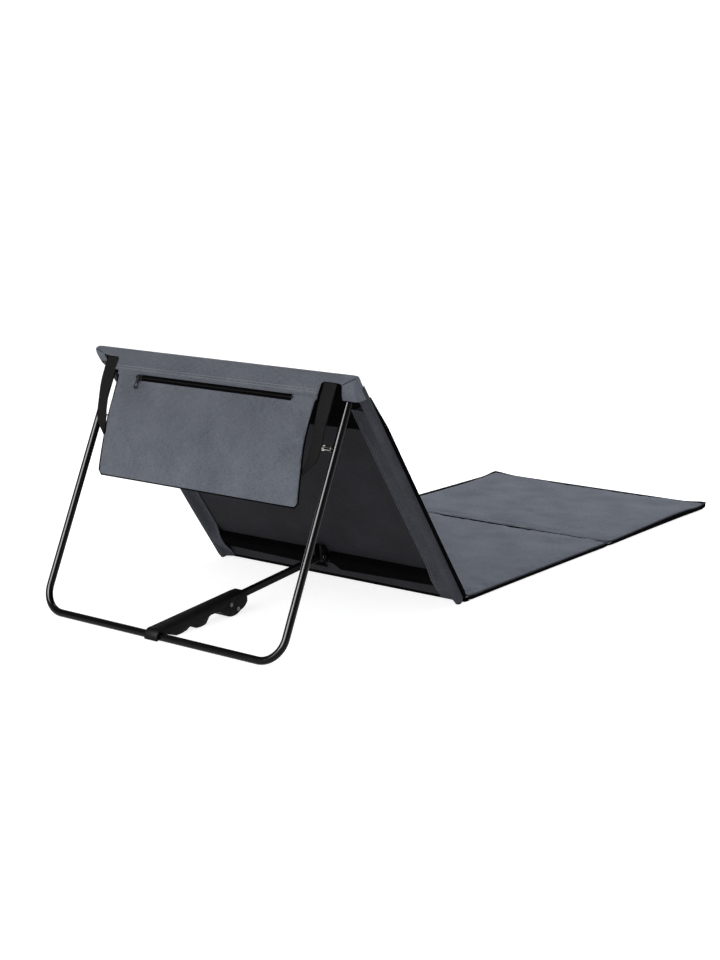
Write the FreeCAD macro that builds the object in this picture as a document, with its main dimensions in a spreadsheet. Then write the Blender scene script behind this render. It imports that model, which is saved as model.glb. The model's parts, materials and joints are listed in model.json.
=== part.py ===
# Folding beach lounger: padded mat, tube-framed backrest, support hoop, notched strut and pouch.
# Millimetres. +X is the sitter's left, +Y runs from the foot end to the head end, +Z is up.
# The origin is on the floor under the middle of the whole lounger.
import FreeCAD, Part
import math
import os
import Sketcher
from FreeCAD import Placement, Rotation, Vector

DOC = FreeCAD.newDocument("BeachLounger")

# Driving dimensions
SIZES = {
    "panel_width": 520, "seat_length": 515, "foot_length": 440, "cloth": 1.2,
    "pad_edge": 9.5, "pad_crown": 13.5, "pad_end": 6.5, "side_draw": 2.5, "side_bulge": 2.0,
    "hinge_gap": 14, "fold_gap": 0.6, "foam_inset": 5,
    "recline": 52.4, "tube_dia": 12, "tube_wall": 1.2, "frame_plane": 6, "frame_half": 252.7,
    "frame_top": 518, "frame_bend": 18, "frame_foot": 13, "foot_cap": 3,
    "back_start": 12, "back_end": 480, "back_gap": 1.8, "back_crown": 10,
    "hoop_half": 239, "hoop_bend": 40, "leg_length": 417.5, "leg_over": 8, "plug_depth": 9,
    "pivot_height": 494, "rivet_dia": 5, "rivet_head": 9, "head_thick": 1.2,
    "pin_play": 0.05, "rivet_play": 0.3,
    "washer_dia": 11, "washer_thick": 1.0,
    "crossbar_height": 64, "crossbar_half": 246.5,
    "strut_pin_height": 74, "strut_pin_reach": 14, "strut_depth": 12, "strut_width": 8, "strut_end": 264,
    "rack_width": 25, "rack_start": 214, "hook_play": 0.4, "hook_wall": 5,
    "ear_gap": 4.9, "ear_thick": 4, "ear_tail": 96,
    "stud_drop": 91, "stud_dia": 6, "stud_reach": 22, "stud_washer": 12, "stud_washer_thick": 1.6,
    "stud_tip_dia": 8.4, "stud_tip": 5, "rack_rivet_dia": 4, "rack_rivet_head": 7,
    "sleeve_play": 0.2, "sleeve_tuck": 0.1, "cap_room": 1.6,
    "hem_start": 17, "hem_end": 446, "hem_edge": 226,
    "sleeve_height": 34, "sleeve_inner": 17, "sleeve_outer": 224,
    "band_start": 437, "band_end": 480, "band_half": 222,
    "hood_half": 261.4, "hood_front": 482, "flap_half": 203, "flap_length": 32, "flap_slope": 60,
    "corner_start": 243, "corner_reach": 20.5, "corner_low": 494, "corner_drop": 468,
    "pouch_half": 205, "pouch_height": 168, "pouch_top": 3.5, "pouch_bulge": 8, "pouch_curl": 25,
    "zip_left": 150, "zip_right": 158, "zip_drop": 9, "zip_tape": 3.2, "coil_width": 1.6, "zip_lift": 0.05,
    "slider_length": 11, "slider_width": 8, "bridge_reach": 4.9, "bridge_dia": 1.6, "puller_length": 20,
    "strap_inner": 207, "strap_width": 24, "strap_thick": 1.6, "strap_rise": 8, "strap_drop": 60,
}


def make_sheet():
    """Put every driving dimension in a named cell."""
    sheet = DOC.addObject("Spreadsheet::Sheet", "Sizes")
    for row, (alias, value) in enumerate(SIZES.items(), start=1):
        sheet.set("A%d" % row, alias)
        sheet.set("B%d" % row, str(value))
        sheet.setAlias("B%d" % row, alias)
    DOC.recompute()
    return sheet


SHEET = make_sheet()
NODES = []


def size(alias):
    return float(SHEET.get(alias))


def bind(obj, prop, formula):
    """Bind a property to cells, given as a formula of cell names in braces."""
    obj.setExpression(prop, formula.replace("{", "Sizes.").replace("}", ""))


def node(obj, label):
    obj.Label = label
    NODES.append(obj)
    return obj


# Main points in the side plane, as (y, z) from the floor point under the backrest hinge
TUBE_R = size("tube_dia") / 2
RECLINE = math.radians(size("recline"))


def on_back(height, reach):
    """Side-plane point at a height up the backrest and a reach behind its plane."""
    y = height * math.cos(RECLINE) + reach * math.sin(RECLINE)
    z = height * math.sin(RECLINE) - reach * math.cos(RECLINE)
    return y, z


PIVOT = on_back(size("pivot_height"), size("frame_plane"))
LEG_RUN = math.sqrt(size("leg_length") ** 2 - (PIVOT[1] - TUBE_R) ** 2)
BAR = (PIVOT[0] + LEG_RUN, TUBE_R)
LEG_LEAN = math.degrees(math.asin(LEG_RUN / size("leg_length")))
STRUT_PIN = on_back(size("strut_pin_height"), size("strut_pin_reach"))
STRUT_DROP = math.degrees(math.atan2(BAR[1] - STRUT_PIN[1], BAR[0] - STRUT_PIN[0]))
STRUT_LENGTH = math.hypot(BAR[0] - STRUT_PIN[0], BAR[1] - STRUT_PIN[1])
HOOK_R = TUBE_R + size("hook_play")
HOOK_OUT = HOOK_R + size("hook_wall")
CAP_OUT = TUBE_R + size("cap_room")
CAP_IN = CAP_OUT - size("cloth")
FLAP_TURN = math.radians(size("flap_slope") + size("recline") - 90)
FLAP_DIR = (math.cos(FLAP_TURN), -math.sin(FLAP_TURN))
FLAP_FROM = (size("frame_plane") + CAP_OUT * math.sin(FLAP_TURN),
             size("frame_top") + CAP_OUT * math.cos(FLAP_TURN))
SEAM_BACK = (FLAP_FROM[0] + FLAP_DIR[0] * size("flap_length"),
             FLAP_FROM[1] + FLAP_DIR[1] * size("flap_length"))
SEAM = on_back(SEAM_BACK[1], SEAM_BACK[0])
REAR_REACH = BAR[0] + HOOK_OUT
SHIFT = (size("seat_length") + size("foot_length") - REAR_REACH) / 2


def side_frame(point, turn):
    """Placement at a side-plane point, turned about X."""
    return Placement(Vector(0, point[0] + SHIFT, point[1]), Rotation(Vector(1, 0, 0), turn))


FLOOR = side_frame((0, 0), 0)
BACK = side_frame((0, 0), size("recline") - 90)
BACK_PAD = side_frame((0, 0), size("recline"))
HOOP = side_frame(PIVOT, LEG_LEAN)
STRUT = side_frame(STRUT_PIN, STRUT_DROP)
POUCH = side_frame(SEAM, LEG_LEAN)
UPSIDE_DOWN = Rotation(Vector(0, 1, 0), 180)
ALONG_X = Rotation(Vector(0, 1, 0), 90)
SIDE_SKETCH = Rotation(Vector(1, 1, 1), 120)
FRONT_SKETCH = Rotation(Vector(1, 0, 0), 90)


def local(frame, x, y, z, turn=Rotation()):
    """Placement at a point of a frame, with a turn of its own."""
    return frame.multiply(Placement(Vector(x, y, z), turn))


# Building blocks
def cylinder_x(frame, x, y, z, radius, length):
    """Cylinder along +X from x, with radius and length as formulas of cells."""
    obj = DOC.addObject("Part::Cylinder", "Cylinder")
    bind(obj, "Radius", radius)
    bind(obj, "Height", length)
    obj.Placement = local(frame, x, y, z, ALONG_X)
    return obj


def cylinder_z(frame, x, y, z, radius, length):
    obj = DOC.addObject("Part::Cylinder", "Cylinder")
    bind(obj, "Radius", radius)
    bind(obj, "Height", length)
    obj.Placement = local(frame, x, y, z)
    return obj


def box(frame, corner, length, width, height):
    """Box from its lowest corner, with its sides as formulas of cells."""
    obj = DOC.addObject("Part::Box", "Box")
    bind(obj, "Length", length)
    bind(obj, "Width", width)
    bind(obj, "Height", height)
    obj.Placement = local(frame, *corner)
    return obj


def cut(base, tool):
    obj = DOC.addObject("Part::Cut", "Cut")
    obj.Base = base
    obj.Tool = tool
    return obj


def fuse(*shapes):
    obj = DOC.addObject("Part::MultiFuse", "Fuse")
    obj.Shapes = list(shapes)
    return obj


def group(*shapes):
    """Separate solids that share one name."""
    obj = DOC.addObject("Part::Compound", "Group")
    obj.Links = list(shapes)
    return obj


def sketch_edges(path):
    """Edges through a path: a point goes straight on, (middle, end) goes there by an arc."""
    edges = []
    here = path[0]
    for step in path[1:]:
        start = Vector(here[0], here[1], 0)
        if isinstance(step[0], tuple):
            middle, here = step
            end = Vector(here[0], here[1], 0)
            edges.append(Part.Arc(start, Vector(middle[0], middle[1], 0), end))
        else:
            here = step
            edges.append(Part.LineSegment(start, Vector(here[0], here[1], 0)))
    return edges


def edge_ends(sketch, index, edge):
    """Numbers of an edge's first and last point in a sketch, which draws every arc anticlockwise."""
    first = edge.StartPoint
    return (1, 2) if sketch.getPoint(index, 1).isEqual(first, 1e-6) else (2, 1)


def extruded(frame, path, length, x=0.0, along="X", symmetric=True):
    """Solid of a closed side outline, pulled along X, or of a front outline, pulled along -Y."""
    sketch = DOC.addObject("Sketcher::SketchObject", "Outline")
    edges = sketch_edges(path)
    sketch.addGeometry(edges, False)
    ends = [edge_ends(sketch, index, edge) for index, edge in enumerate(edges)]
    for index in range(len(edges)):
        after = (index + 1) % len(edges)
        meeting = ("Coincident", index, ends[index][1], after, ends[after][0])
        sketch.addConstraint(Sketcher.Constraint(*meeting))
    if along == "X":
        sketch.Placement = local(frame, x, 0, 0, SIDE_SKETCH)
    else:
        sketch.Placement = local(frame, 0, x, 0, FRONT_SKETCH)
    obj = DOC.addObject("Part::Extrusion", "Pull")
    obj.Base = sketch
    obj.DirMode = "Normal"
    obj.Solid = True
    obj.Symmetric = symmetric
    bind(obj, "LengthFwd", length)
    return obj


def origin_plane(body, role):
    return next(item for item in body.Origin.OriginFeatures if item.Role == role)


def body_sketch(body, name, role):
    sketch = body.newObject("Sketcher::SketchObject", name)
    sketch.AttachmentSupport = [(origin_plane(body, role), "")]
    sketch.MapMode = "FlatFace"
    return sketch


def u_tube(frame, name, half, depth, bend):
    """Bent tube: two legs down from the frame's origin plane, joined by a bar at a depth below it."""
    body = DOC.addObject("PartDesign::Body", name)
    half_width = size(half)
    radius = size(bend)
    drop = depth_value(depth)
    inner = half_width - radius
    path = body_sketch(body, name + "Path", "XZ_Plane")
    normal = Vector(0, 0, 1)
    right_arc = Part.Circle(Vector(inner, radius - drop, 0), normal, radius)
    left_arc = Part.Circle(Vector(-inner, radius - drop, 0), normal, radius)
    path.addGeometry([
        Part.LineSegment(Vector(half_width, 0, 0), Vector(half_width, radius - drop, 0)),
        Part.ArcOfCircle(right_arc, 1.5 * math.pi, 2 * math.pi),
        Part.LineSegment(Vector(inner, -drop, 0), Vector(-inner, -drop, 0)),
        Part.ArcOfCircle(left_arc, math.pi, 1.5 * math.pi),
        Part.LineSegment(Vector(-half_width, radius - drop, 0), Vector(-half_width, 0, 0)),
    ], False)
    rules = [("Tangent", 0, 2, 1, 2), ("Tangent", 1, 1, 2, 1), ("Tangent", 2, 2, 3, 2),
             ("Tangent", 3, 1, 4, 1),
             ("Vertical", 0), ("Horizontal", 2), ("Vertical", 4), ("Equal", 1, 3),
             ("PointOnObject", 0, 1, -1), ("PointOnObject", 4, 2, -1)]
    for rule in rules:
        path.addConstraint(Sketcher.Constraint(*rule))
    sizes = [(("Radius", 1, radius), "{%s}" % bend),
             (("DistanceX", -1, 1, 0, 1, half_width), "{%s}" % half),
             (("DistanceX", 4, 2, -1, 1, half_width), "{%s}" % half),
             (("DistanceY", 2, 1, -1, 1, drop), depth)]
    for rule, formula in sizes:
        index = path.addConstraint(Sketcher.Constraint(*rule))
        bind(path, "Constraints[%d]" % index, formula)
    ring = body_sketch(body, name + "Ring", "XY_Plane")
    walls = [("{tube_dia} / 2", TUBE_R), ("{tube_dia} / 2 - {tube_wall}", TUBE_R - size("tube_wall"))]
    for formula, value in walls:
        circle = ring.addGeometry(Part.Circle(Vector(half_width, 0, 0), normal, value), False)
        ring.addConstraint(Sketcher.Constraint("PointOnObject", circle, 3, -1))
        index = ring.addConstraint(Sketcher.Constraint("DistanceX", -1, 1, circle, 3, half_width))
        bind(ring, "Constraints[%d]" % index, "{%s}" % half)
        index = ring.addConstraint(Sketcher.Constraint("Radius", circle, value))
        bind(ring, "Constraints[%d]" % index, formula)
    DOC.recompute()
    pipe = body.newObject("PartDesign::AdditivePipe", name + "Pipe")
    pipe.Profile = ring
    pipe.Spine = (path, ["Edge%d" % (count + 1) for count in range(5)])
    body.Tip = pipe
    body.Placement = frame
    DOC.recompute()
    return body


def depth_value(formula):
    """Value of a depth given as a cell name, or as the difference of two."""
    words = formula.replace("{", "").replace("}", "").split(" - ")
    return size(words[0]) - sum(size(word) for word in words[1:])


def pad_loft(start, length, half, edge, crown, end, base, draw, bulge):
    """Crowned pad over a length from y = start: sides drawn in mid-way, ends thinned to a seam."""
    thin = (end / edge, end / crown + 0.06)
    stations = [(0.0, 0.0, *thin), (0.07, 0.25, 0.95, 0.93), (0.5, 1.0, 1.0, 1.0), (0.93, 0.25, 0.95, 0.93),
                (1.0, 0.0, *thin)]
    sections = []
    for part, drawn, low, high in stations:
        y = start + part * length
        wide = half - bulge - draw * drawn
        side = base + (edge - base) * low
        top = base + (crown - base) * high
        corners = [Vector(x, y, z) for x, z in ((-wide, base), (wide, base), (wide, side), (-wide, side))]
        right = Part.Arc(corners[1], Vector(wide + bulge, y, (base + side) / 2), corners[2])
        over = Part.Arc(corners[2], Vector(0, y, top), corners[3])
        left = Part.Arc(corners[3], Vector(-wide - bulge, y, (base + side) / 2), corners[0])
        edges = [Part.LineSegment(corners[0], corners[1]), right, over, left]
        sections.append(Part.Wire([edge_curve.toShape() for edge_curve in edges]))
    return Part.makeLoft(sections, True, False)


def padded_panel(name, base_name, frame, start, length, crown):
    """Foam sheet between a top cloth and a flat base cloth."""
    cloth = size("cloth")
    inset = size("foam_inset")
    half = size("panel_width") / 2
    edge = min(size("pad_edge"), crown - 2)
    draw = size("side_draw")
    bulge = size("side_bulge")
    whole = pad_loft(0, length, half, edge, crown, size("pad_end"), cloth, draw, bulge)
    core = pad_loft(inset, length - 2 * inset, half - inset, edge - cloth, crown - cloth,
                    size("pad_end") - cloth, cloth, draw, bulge)
    foam = DOC.addObject("Part::Feature", "Foam")
    foam.Shape = core
    foam.Placement = local(frame, 0, start, 0)
    cover = DOC.addObject("Part::Feature", "Cover")
    cover.Shape = whole.cut(core)
    cover.Placement = local(frame, 0, start, 0)
    base = DOC.addObject("Part::Box", "Base")
    bind(base, "Length", "{panel_width} - 2 * {side_draw} - 2 * {side_bulge}")
    base.Width = length
    bind(base, "Height", "{cloth}")
    base.Placement = local(frame, draw + bulge - half, start, 0)
    node(cover, name + "_cover")
    node(foam, name + "_foam")
    node(base, base_name)


def mirrored_pair(build):
    """The same piece on the +X and the -X side."""
    return [build(1), build(-1)]


# Mat
def make_mat():
    seat_from = -size("seat_length") + size("fold_gap")
    seat_span = -size("hinge_gap") - seat_from
    padded_panel("seat", "seat_base", FLOOR, seat_from, seat_span, size("pad_crown"))
    foot_from = -size("seat_length") - size("foot_length")
    foot_span = size("foot_length") - size("fold_gap")
    padded_panel("foot", "foot_base", FLOOR, foot_from, foot_span, size("pad_crown"))
    strip = box(FLOOR, (-size("panel_width") / 2 + 6, -size("hinge_gap"), 0),
                "{panel_width} - 12", "{hinge_gap} - 2", "{cloth}")
    node(strip, "hinge_strip")


# Backrest
def make_back_pad():
    raised = BACK_PAD.multiply(Placement(Vector(0, 0, size("back_gap")), Rotation()))
    length = size("back_end") - size("back_start")
    padded_panel("back", "back_lining", raised, size("back_start"), length, size("back_crown"))


def make_back_frame():
    upside = BACK.multiply(Placement(Vector(0, size("frame_plane"), size("frame_foot")), UPSIDE_DOWN))
    tube = u_tube(upside, "BackTube", "frame_half", "{frame_top} - {frame_foot}", "frame_bend")
    span = 2 * (size("frame_half") + 10)
    hole = DOC.addObject("Part::Cylinder", "PivotHole")
    bind(hole, "Radius", "{rivet_dia} / 2")
    hole.Height = span
    hole.Placement = local(BACK, -span / 2, size("frame_plane"), size("pivot_height"), ALONG_X)
    node(cut(tube, hole), "back_frame")
    bar_at = (-size("crossbar_half"), size("frame_plane"), size("crossbar_height"))
    outer = cylinder_x(BACK, *bar_at, "{tube_dia} / 2", "2 * {crossbar_half}")
    inner = cylinder_x(BACK, *bar_at, "{tube_dia} / 2 - {tube_wall}", "2 * {crossbar_half}")
    node(cut(outer, inner), "crossbar")

    def foot_cap(side):
        x = side * size("frame_half")
        low = size("frame_foot") - size("foot_cap")
        flange = cylinder_z(BACK, x, size("frame_plane"), low, "{tube_dia} / 2", "{foot_cap}")
        stem = cylinder_z(BACK, x, size("frame_plane"), low, "{tube_dia} / 2 - {tube_wall}",
                          "{foot_cap} + {plug_depth}")
        return fuse(flange, stem)

    node(group(*mirrored_pair(foot_cap)), "frame_feet")


def make_pivots():
    """Rivets through the side tubes, with a washer between each tube and the leg beside it."""
    frame_out = size("frame_half") + TUBE_R
    leg_in = size("hoop_half") - TUBE_R
    play = size("rivet_play")
    gap_middle = (size("frame_half") + size("hoop_half")) / 2

    def rivet(side):
        shank_length = frame_out - leg_in + play
        low = leg_in - play if side > 0 else -frame_out
        shank = DOC.addObject("Part::Cylinder", "Shank")
        bind(shank, "Radius", "{rivet_dia} / 2")
        shank.Height = shank_length
        shank.Placement = local(BACK, low, size("frame_plane"), size("pivot_height"), ALONG_X)
        heads = []
        for x in (low - size("head_thick"), low + shank_length):
            heads.append(cylinder_x(BACK, x, size("frame_plane"), size("pivot_height"),
                                    "{rivet_head} / 2", "{head_thick}"))
        return fuse(shank, *heads)

    def washer(side):
        x = side * gap_middle - size("washer_thick") / 2
        at = (x, size("frame_plane"), size("pivot_height"))
        disc = cylinder_x(BACK, *at, "{washer_dia} / 2", "{washer_thick}")
        hole = cylinder_x(BACK, *at, "{rivet_dia} / 2", "{washer_thick}")
        return cut(disc, hole)

    node(group(*mirrored_pair(rivet)), "pivot_rivets")
    node(group(*mirrored_pair(washer)), "pivot_washers")


def make_strut_bracket():
    """Two cheeks on the crossbar, with the strut's pin across them."""
    plane = size("frame_plane")
    bar = size("crossbar_height")
    pin_at = (size("strut_pin_reach"), size("strut_pin_height"))
    grip = TUBE_R + 3
    nose = 8
    tail = size("ear_tail")
    corner = (plane - 5, bar - grip + 1.5)
    nose_low = (pin_at[0] + 5.5, pin_at[1] - nose + 2.2)
    nose_high = (pin_at[0] + 5.5, pin_at[1] + 6)
    outline = [corner, ((plane, bar - grip), (plane + 5, bar - grip + 1.5)), nose_low,
               ((pin_at[0] + nose, pin_at[1]), nose_high), (plane + 5, tail - 3),
               ((plane + 3, tail), (plane, tail)), (plane - 5, tail - 4), corner]

    def cheek(side):
        x = side * (size("ear_gap") + size("ear_thick") / 2)
        plate = extruded(BACK, outline, "{ear_thick}", x)
        low = x - size("ear_thick") / 2
        bar_hole = cylinder_x(BACK, low - 1, plane, bar, "{tube_dia} / 2", "{ear_thick} + 2")
        pin_hole = cylinder_x(BACK, low - 1, pin_at[0], pin_at[1], "{rivet_dia} / 2", "{ear_thick} + 2")
        return cut(cut(plate, bar_hole), pin_hole)

    node(cheek(1), "strut_ear_left")
    node(cheek(-1), "strut_ear_right")
    reach = size("ear_gap") + size("ear_thick")
    shank = cylinder_x(BACK, -reach, *pin_at, "{rivet_dia} / 2", "2 * ({ear_gap} + {ear_thick})")
    heads = [cylinder_x(BACK, x, *pin_at, "{rivet_head} / 2", "{head_thick}")
             for x in (-reach - size("head_thick"), reach)]
    node(fuse(shank, *heads), "strut_pin")


def make_hems():
    """Cloth sleeves round the side tubes, each with a flat edge sewn to the panel."""
    plane = size("frame_plane")
    low = size("hem_start")
    sleeve_in = TUBE_R + size("sleeve_play")

    def hem(side):
        x = side * size("frame_half")
        rise = "{hem_end} - {hem_start}"
        outer = cylinder_z(BACK, x, plane, low, "{tube_dia} / 2 + {sleeve_play} + {cloth}", rise)
        edge_from = size("hem_edge") if side > 0 else -size("frame_half")
        edge = box(BACK, (edge_from, plane - sleeve_in - size("cloth") + size("sleeve_tuck"), low),
                   "{frame_half} - {hem_edge}", "{cloth} - 2 * {sleeve_tuck}", rise)
        bore = cylinder_z(BACK, x, plane, low - 1, "{tube_dia} / 2 + {sleeve_play}", rise + " + 2")
        bar = cylinder_x(BACK, -size("crossbar_half") - 3, plane, size("crossbar_height"),
                         "{tube_dia} / 2 + 2 * {sleeve_play}", "2 * {crossbar_half} + 6")
        return cut(cut(fuse(outer, edge), bore), bar)

    node(hem(1), "side_hem_left")
    node(hem(-1), "side_hem_right")


def make_bands():
    """Black cloth: tunnels round the crossbar, and a band across the head of the lining."""
    plane = size("frame_plane")
    front = plane - TUBE_R - size("sleeve_play") - size("cloth")
    width = "{sleeve_outer} - {sleeve_inner}"

    def tunnel(side):
        x = size("sleeve_inner") if side > 0 else -size("sleeve_outer")
        bar = size("crossbar_height")
        outer = cylinder_x(BACK, x, plane, bar, "{tube_dia} / 2 + {sleeve_play} + {cloth}", width)
        bore = cylinder_x(BACK, x, plane, bar, "{tube_dia} / 2 + {sleeve_play}", width)
        edge = box(BACK, (x, front + size("sleeve_tuck"), bar - size("sleeve_height") / 2),
                   width, "{cloth} - 2 * {sleeve_tuck}", "{sleeve_height}")
        return cut(fuse(outer, edge), bore)

    node(tunnel(1), "crossbar_sleeve_left")
    node(tunnel(-1), "crossbar_sleeve_right")
    band = box(BACK, (-size("band_half"), front, size("band_start")),
               "2 * {band_half}", "{cloth}", "{band_end} - {band_start}")
    node(band, "head_band")


def make_hood():
    """Cloth cap over the top bar: front edge, rear flap that the pouch hangs from, closed corners."""
    plane = size("frame_plane")
    top = size("frame_top")
    cloth = size("cloth")
    across = (FLAP_DIR[1], -FLAP_DIR[0])

    def round_bar(radius, angle):
        return plane + radius * math.cos(angle), top + radius * math.sin(angle)

    def along_flap(length, depth):
        return (FLAP_FROM[0] + FLAP_DIR[0] * length + across[0] * depth,
                FLAP_FROM[1] + FLAP_DIR[1] * length + across[1] * depth)

    flap_angle = math.pi / 2 - FLAP_TURN
    middle_angle = (math.pi + flap_angle) / 2
    front = plane - CAP_OUT
    cap_path = [(front, size("hood_front")), (front, top),
                (round_bar(CAP_OUT, middle_angle), round_bar(CAP_OUT, flap_angle)), along_flap(0, cloth),
                (round_bar(CAP_IN, middle_angle), (front + cloth, top)),
                (front + cloth, size("hood_front")), (front, size("hood_front"))]
    cap = extruded(BACK, cap_path, "2 * {hood_half}")

    end = size("flap_length")
    flap_path = [along_flap(0, 0), along_flap(end, 0), along_flap(end, cloth), along_flap(0, cloth),
                 along_flap(0, 0)]
    flap = extruded(BACK, flap_path, "2 * {flap_half}")
    corner_middle = (size("corner_start") + size("hood_half")) / 2
    bend = (plane + 0.7 * size("corner_reach"), size("corner_low") + 22)
    inner_bend = (bend[0] - 0.75 * cloth, bend[1] - 0.65 * cloth)
    low = (plane + size("corner_reach"), size("corner_low"))
    inner_low = (low[0] - cloth, low[1])
    corner_path = [along_flap(0, 0), (bend, low), inner_low, (inner_bend, along_flap(0, cloth)),
                   along_flap(0, 0)]
    side_path = [(front, size("hood_front")), (front, top),
                 (round_bar(CAP_OUT, middle_angle), round_bar(CAP_OUT, flap_angle)), (bend, low),
                 (plane + 8, size("corner_drop")), (front, size("hood_front"))]
    pieces = [cap, flap]
    for side in (1, -1):
        pieces.append(extruded(BACK, corner_path, "{hood_half} - {corner_start}", side * corner_middle))
        pieces.append(extruded(BACK, side_path, "{cloth}", side * (size("hood_half") - cloth / 2)))
    node(fuse(*pieces), "head_hood")


# Support hoop
def make_hoop():
    raised = HOOP.multiply(Placement(Vector(0, 0, size("leg_over")), Rotation()))
    SHEET.set("D1", "=leg_length + leg_over")
    SHEET.setAlias("D1", "leg_whole")
    DOC.recompute()
    tube = u_tube(raised, "HoopTube", "hoop_half", "{leg_whole}", "hoop_bend")
    span = 2 * (size("hoop_half") + 10)
    reach = size("leg_length") + 2 * TUBE_R
    below = DOC.addObject("Part::Box", "BelowPivot")
    below.Length = span
    below.Width = 4 * TUBE_R
    below.Height = reach
    below.Placement = local(HOOP, -span / 2, -2 * TUBE_R, -reach)

    def across(name, radius, drop, width=span):
        """Rod through both legs, or through their inner walls where it is narrower."""
        rod = DOC.addObject("Part::Cylinder", name)
        bind(rod, "Radius", radius)
        rod.Height = width
        rod.Placement = local(HOOP, -width / 2, 0, -drop, ALONG_X)
        return rod

    kept = fuse(below, across("RoundEnd", "{tube_dia} / 2", 0))

    def round_ended(solid):
        """Solid with its upper end rounded about the pivot, and the pivot's bore."""
        common = DOC.addObject("Part::Common", "RoundEnded")
        common.Base = solid
        common.Tool = kept
        return cut(common, across("PivotBore", "{rivet_dia} / 2 + {pin_play}", 0))

    stud_hole = across("StudHole", "{stud_dia} / 2", size("stud_drop"), 2 * size("hoop_half"))
    node(cut(round_ended(tube), stud_hole), "support_hoop")

    def plug(side):
        """Plastic filling of a leg's end."""
        core = cylinder_z(HOOP, side * size("hoop_half"), 0, -size("plug_depth"),
                          "{tube_dia} / 2 - {tube_wall}", "{plug_depth} + {leg_over}")
        return round_ended(core)

    node(group(*mirrored_pair(plug)), "hoop_plugs")


def make_studs():
    """Bright studs in the legs' inner walls, reaching in past a washer to a broad tip."""
    drop = -size("stud_drop")
    leg_in = size("hoop_half") - TUBE_R

    def stud(side):
        low = leg_in - size("stud_reach") if side > 0 else -size("hoop_half")
        length = TUBE_R + size("stud_reach")
        shank = DOC.addObject("Part::Cylinder", "StudShank")
        bind(shank, "Radius", "{stud_dia} / 2")
        shank.Height = length
        shank.Placement = local(HOOP, low, 0, drop, ALONG_X)
        tip_x = low if side > 0 else low + length - size("stud_tip")
        return fuse(shank, cylinder_x(HOOP, tip_x, 0, drop, "{stud_tip_dia} / 2", "{stud_tip}"))

    def washer(side):
        x = leg_in - size("stud_washer_thick") if side > 0 else -leg_in
        disc = cylinder_x(HOOP, x, 0, drop, "{stud_washer} / 2", "{stud_washer_thick}")
        hole = cylinder_x(HOOP, x, 0, drop, "{stud_dia} / 2", "{stud_washer_thick}")
        return cut(disc, hole)

    node(group(*mirrored_pair(stud)), "strap_studs")
    node(group(*mirrored_pair(washer)), "stud_washers")


# Strut with its notched rack
RACK_RIVETS = [(255.0, -2.5), (239.0, -14.0)]


def make_strut():
    half = size("strut_depth") / 2
    end = size("strut_end")
    outline = [(0, -half), (end - half, -half), ((end, 0), (end - half, half)), (0, half),
               ((-half, 0), (0, -half))]
    bar = extruded(STRUT, outline, "{strut_width}")
    DOC.recompute()
    rounded = DOC.addObject("Part::Fillet", "RoundedBar")
    rounded.Base = bar
    half_width = size("strut_width") / 2
    rims = [index + 1 for index, edge in enumerate(bar.Shape.Edges)
            if abs(abs(edge.CenterOfMass.x) - half_width) < 0.01]
    rounded.Edges = [(index, 2.0, 2.0) for index in rims]
    low = -half_width - 1
    pin = cylinder_x(STRUT, low, 0, 0, "{rivet_dia} / 2 + {pin_play}", "{strut_width} + 2")
    first = RACK_RIVETS[0]
    rivet = cylinder_x(STRUT, low, first[0], first[1], "{rack_rivet_dia} / 2", "{strut_width} + 2")
    node(cut(cut(rounded, pin), rivet), "strut_bar")


def make_rack():
    """Moulded rack: straight back above, lobes and notches below, and a hook over the hoop's bar."""
    start = size("rack_start")
    bar = STRUT_LENGTH
    inner_from = (bar + HOOK_R, -3.5)
    mouth = math.radians(150)
    inner_to = (bar + HOOK_R * math.cos(mouth), HOOK_R * math.sin(mouth))
    path = [(start, -8.2), (start, 8.2), (start + 14, 9.2), (bar - 90, 11.2), (bar - 4, HOOK_OUT),
            ((bar + HOOK_OUT * 0.72, HOOK_OUT * 0.69), (bar + HOOK_OUT, 0)), (bar + HOOK_OUT, -3.5),
            inner_from, (bar + HOOK_R, 0), ((bar, HOOK_R), inner_to),
            (bar - 34, -9.0), ((bar - 45, -9.8), (bar - 59, -8.6)), (bar - 64, -6.0), (bar - 69, -5.8),
            (bar - 80, -12.6), ((bar - 92, -14.4), (bar - 104, -13.6)), (bar - 112, -5.0),
            (bar - 117, -3.4), (bar - 136, -4.2), (bar - 146, -11.0),
            ((bar - 165, -22.0), (bar - 190, -18.5)), ((bar - 202, -14.0), (start, -8.2))]
    block = extruded(STRUT, path, "{rack_width}")
    half = size("strut_depth") / 2
    end = size("strut_end")
    slot_path = [(start - 5, -half), (end - half, -half), ((end, 0), (end - half, half)), (start - 5, half),
                 (start - 5, -half)]
    slot = extruded(STRUT, slot_path, "{strut_width} + 0.1")
    low = -size("rack_width") / 2
    rack = cut(block, slot)
    rivets = []
    for y, z in RACK_RIVETS:
        hole = cylinder_x(STRUT, low - 1, y, z, "{rack_rivet_dia} / 2", "{rack_width} + 2")
        rack = cut(rack, hole)
        shank = cylinder_x(STRUT, low, y, z, "{rack_rivet_dia} / 2", "{rack_width}")
        heads = [cylinder_x(STRUT, x, y, z, "{rack_rivet_head} / 2", "{head_thick}")
                 for x in (low - size("head_thick"), -low)]
        rivets.append(fuse(shank, *heads))
    node(rack, "notch_rack")
    node(group(*rivets), "rack_rivets")


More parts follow.
